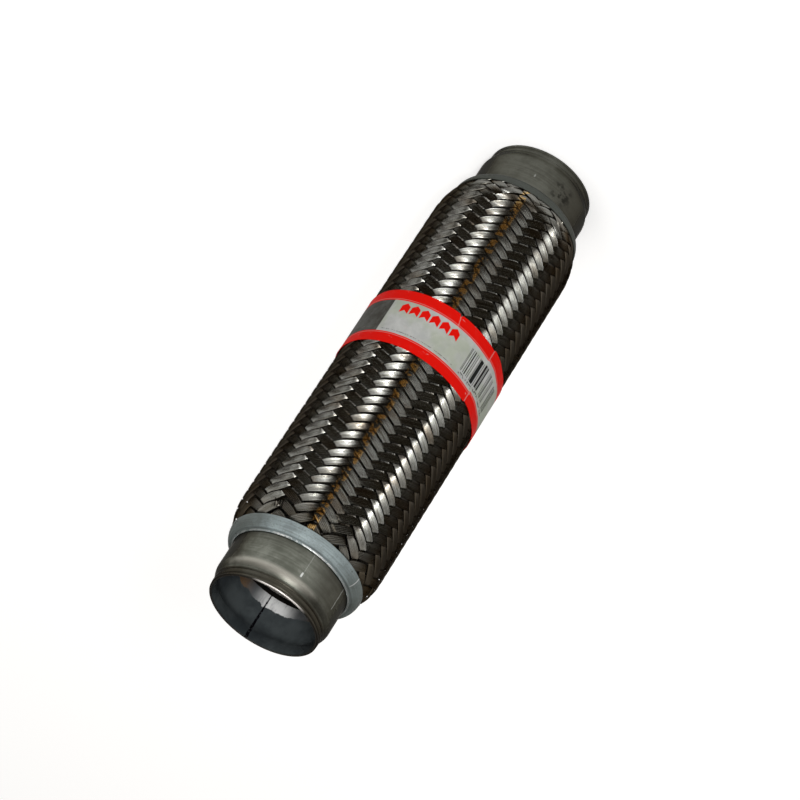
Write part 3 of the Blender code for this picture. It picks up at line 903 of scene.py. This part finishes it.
def crease_share(angle, up):
    """How near each point of the label is to a crease, from 0 to 1."""
    share = np.zeros_like(angle)
    scale = math.radians(1) * BRAID_RADIUS * 1000
    for start_angle, start_up, end_angle, end_up, width in LABEL_CREASES:
        ax, ay = start_angle * scale, start_up
        bx, by = end_angle * scale, end_up
        px, py = angle * scale, up
        length = (bx - ax) ** 2 + (by - ay) ** 2
        t = np.clip(((px - ax) * (bx - ax) + (py - ay) * (by - ay)) / length, 0, 1)
        gap = np.hypot(px - ax - t * (bx - ax), py - ay - t * (by - ay))
        share = np.maximum(share, np.exp(-(gap / width) ** 2))
    return share


def build_label():
    """Paper strip, a little askew and creased, with a lap at the back."""
    around, rows = LABEL_GRID
    lap = math.radians(LABEL_LAP)
    start = math.radians(LABEL_START)
    turn = start - np.linspace(0, math.tau + lap, around + 1)
    angle = (-90 - np.degrees(turn) + 180) % 360 - 180
    angle = np.repeat(angle[:, None], rows + 1, 1)
    share = np.repeat(np.linspace(0, 1, around + 1)[:, None], rows + 1, 1)
    turn = np.repeat(turn[:, None], rows + 1, 1)
    up = np.repeat(np.linspace(-0.5, 0.5, rows + 1)[None, :], around + 1, 0) * LABEL_WIDTH * 1000
    crease = crease_share(angle, up)
    height = LABEL_LEVEL + LABEL_SKEW * np.sin(np.radians(angle)) + up / 1000
    edge = np.abs(up) / (LABEL_WIDTH * 500)
    step = smooth_step(angle, *LABEL_STEP_START) * (1 - smooth_step(angle, *LABEL_STEP_FADE))
    height += LABEL_STEP * step
    tear = np.exp(-((angle - LABEL_TEAR[0]) / LABEL_TEAR[1]) ** 2) * smooth_step(-up, 12, LABEL_WIDTH * 500)
    height += tear * LABEL_TEAR[2]
    ripple = sum(
        np.sin(np.radians(angle) * k + up * m + k) for k, m in ((17, 0.21), (29, -0.33), (41, 0.12))
    )
    lift = LABEL_RIPPLE * (ripple / 3 + 1) / 2 + LABEL_CREASE_RISE * crease
    lift += LABEL_EDGE_LIFT * smooth_step(edge, 0.85, 1) * (0.5 + 0.5 * np.sin(np.radians(angle) * 11))
    lap_start = math.tau / (math.tau + lap)
    lift += LABEL_PAPER * 1.2 * smooth_step(share, lap_start - 0.006, lap_start + 0.002)
    middle = LABEL_OUTSIDE - LABEL_PAPER * 1.5 + lift
    sides = []
    for radius in (middle + LABEL_PAPER / 2, middle - LABEL_PAPER / 2):
        sides.append(np.stack([radius * np.cos(turn), radius * np.sin(turn), height], -1).reshape(-1, 3))
    points = np.concatenate(sides)
    total = (around + 1) * (rows + 1)
    index = np.arange(total).reshape(around + 1, rows + 1)
    quads = np.stack([index[:-1, :-1], index[:-1, 1:], index[1:, 1:], index[1:, :-1]], -1).reshape(-1, 4)
    faces = [quads, quads[:, ::-1] + total]
    rims = ((index[:, 0], True), (index[:, -1], False), (index[0, :], False), (index[-1, :], True))
    for line, turned_over in rims:
        band = np.stack([line[:-1], line[:-1] + total, line[1:] + total, line[1:]], -1)
        faces.append(band[:, ::-1] if turned_over else band)
    mesh = mesh_from("paper_label", points, np.concatenate(faces))
    mark_points(mesh, "crease", np.tile(crease.ravel(), 2))
    layer = mesh.uv_layers.new(name="UVMap")
    corner = np.empty(len(mesh.loops), np.int32)
    mesh.loops.foreach_get("vertex_index", corner)
    spread = np.stack([np.tile(angle.ravel(), 2)[corner], np.tile(up.ravel(), 2)[corner]], -1)
    layer.data.foreach_set("uv", spread.astype(np.float32).ravel())
    mesh.shade_smooth()
    mesh.set_sharp_from_angle(angle=math.radians(50))
    add_piece("paper_label", mesh, label_finish(), "label_paper", "label")


def build_bellows():
    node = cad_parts["bellows"]
    node.data.materials.clear()
    node.data.materials.append(bellows_shade_steel())


def build_floor():
    bm = bmesh.new()
    bmesh.ops.create_circle(bm, cap_ends=True, segments=96, radius=FLOOR_RADIUS)
    mesh = bpy.data.meshes.new("floor")
    bm.to_mesh(mesh)
    bm.free()
    g = Graph("floor_finish")
    g.set(base_color=(0.80, 0.80, 0.80, 1.0), roughness=0.9, specular_ior_level=0.1)
    ray = g.node("ShaderNodeLightPath").outputs
    seen = g.math("MAXIMUM", ray["Is Glossy Ray"], ray["Is Transmission Ray"])
    seen = g.math("MAXIMUM", ray["Is Camera Ray"], seen)
    g.set(emission_color=(1.0, 1.0, 1.0, 1.0), emission_strength=g.times(seen, FLOOR_GLOW))
    mesh.materials.append(g.material)
    floor = bpy.data.objects.new("floor", mesh)
    floor.location.z = -FLOOR_DROP
    bpy.context.scene.collection.objects.link(floor)


def build_camera():
    right = Vector(CAMERA_RIGHT).normalized()
    forward = Vector(CAMERA_FORWARD).normalized()
    up = right.cross(forward)
    data = bpy.data.cameras.new("camera")
    data.lens = CAMERA_LENS
    data.sensor_width = SENSOR
    data.clip_end = 60
    camera = bpy.data.objects.new("camera", data)
    turn = Matrix((right, up, -forward)).transposed()
    camera.matrix_world = Matrix.Translation(CAMERA_PLACE) @ turn.to_4x4()
    bpy.context.scene.collection.objects.link(camera)
    bpy.context.scene.camera = camera


def add_lamp(name, place, aim, size, power):
    data = bpy.data.lights.new(name, "AREA")
    data.shape = "RECTANGLE"
    data.size = size
    data.size_y = size
    data.energy = power
    lamp = bpy.data.objects.new(name, data)
    lamp.location = place
    lamp.rotation_euler = (Vector(aim) - Vector(place)).to_track_quat("-Z", "Y").to_euler()
    bpy.context.scene.collection.objects.link(lamp)


def build_light():
    middle = Vector((0, 0, LENGTH / 2))
    for name, (angle, elevation, distance, size, power) in (("key", KEY), ("halo", HALO), ("fill", FILL)):
        turn, tilt = math.radians(-90 - angle), math.radians(elevation)
        way = Vector((math.cos(turn) * math.cos(tilt), math.sin(turn) * math.cos(tilt), math.sin(tilt)))
        add_lamp(name, middle + way * distance, middle, size, power)
    add_lamp("top", TOP_PLACE, (0, 0, 0), TOP_SIZE, TOP_POWER)
    world = bpy.data.worlds.new("studio")
    world.use_nodes = True
    bpy.context.scene.world = world
    back = world.node_tree.nodes["Background"]
    back.inputs["Color"].default_value = WORLD_COLOR
    back.inputs["Strength"].default_value = 1.0
    bpy.context.scene.view_settings.view_transform = "Standard"


build_outer_braid()
build_inner_braid()
build_ends()
build_label()
build_bellows()
build_floor()
build_camera()
build_light()
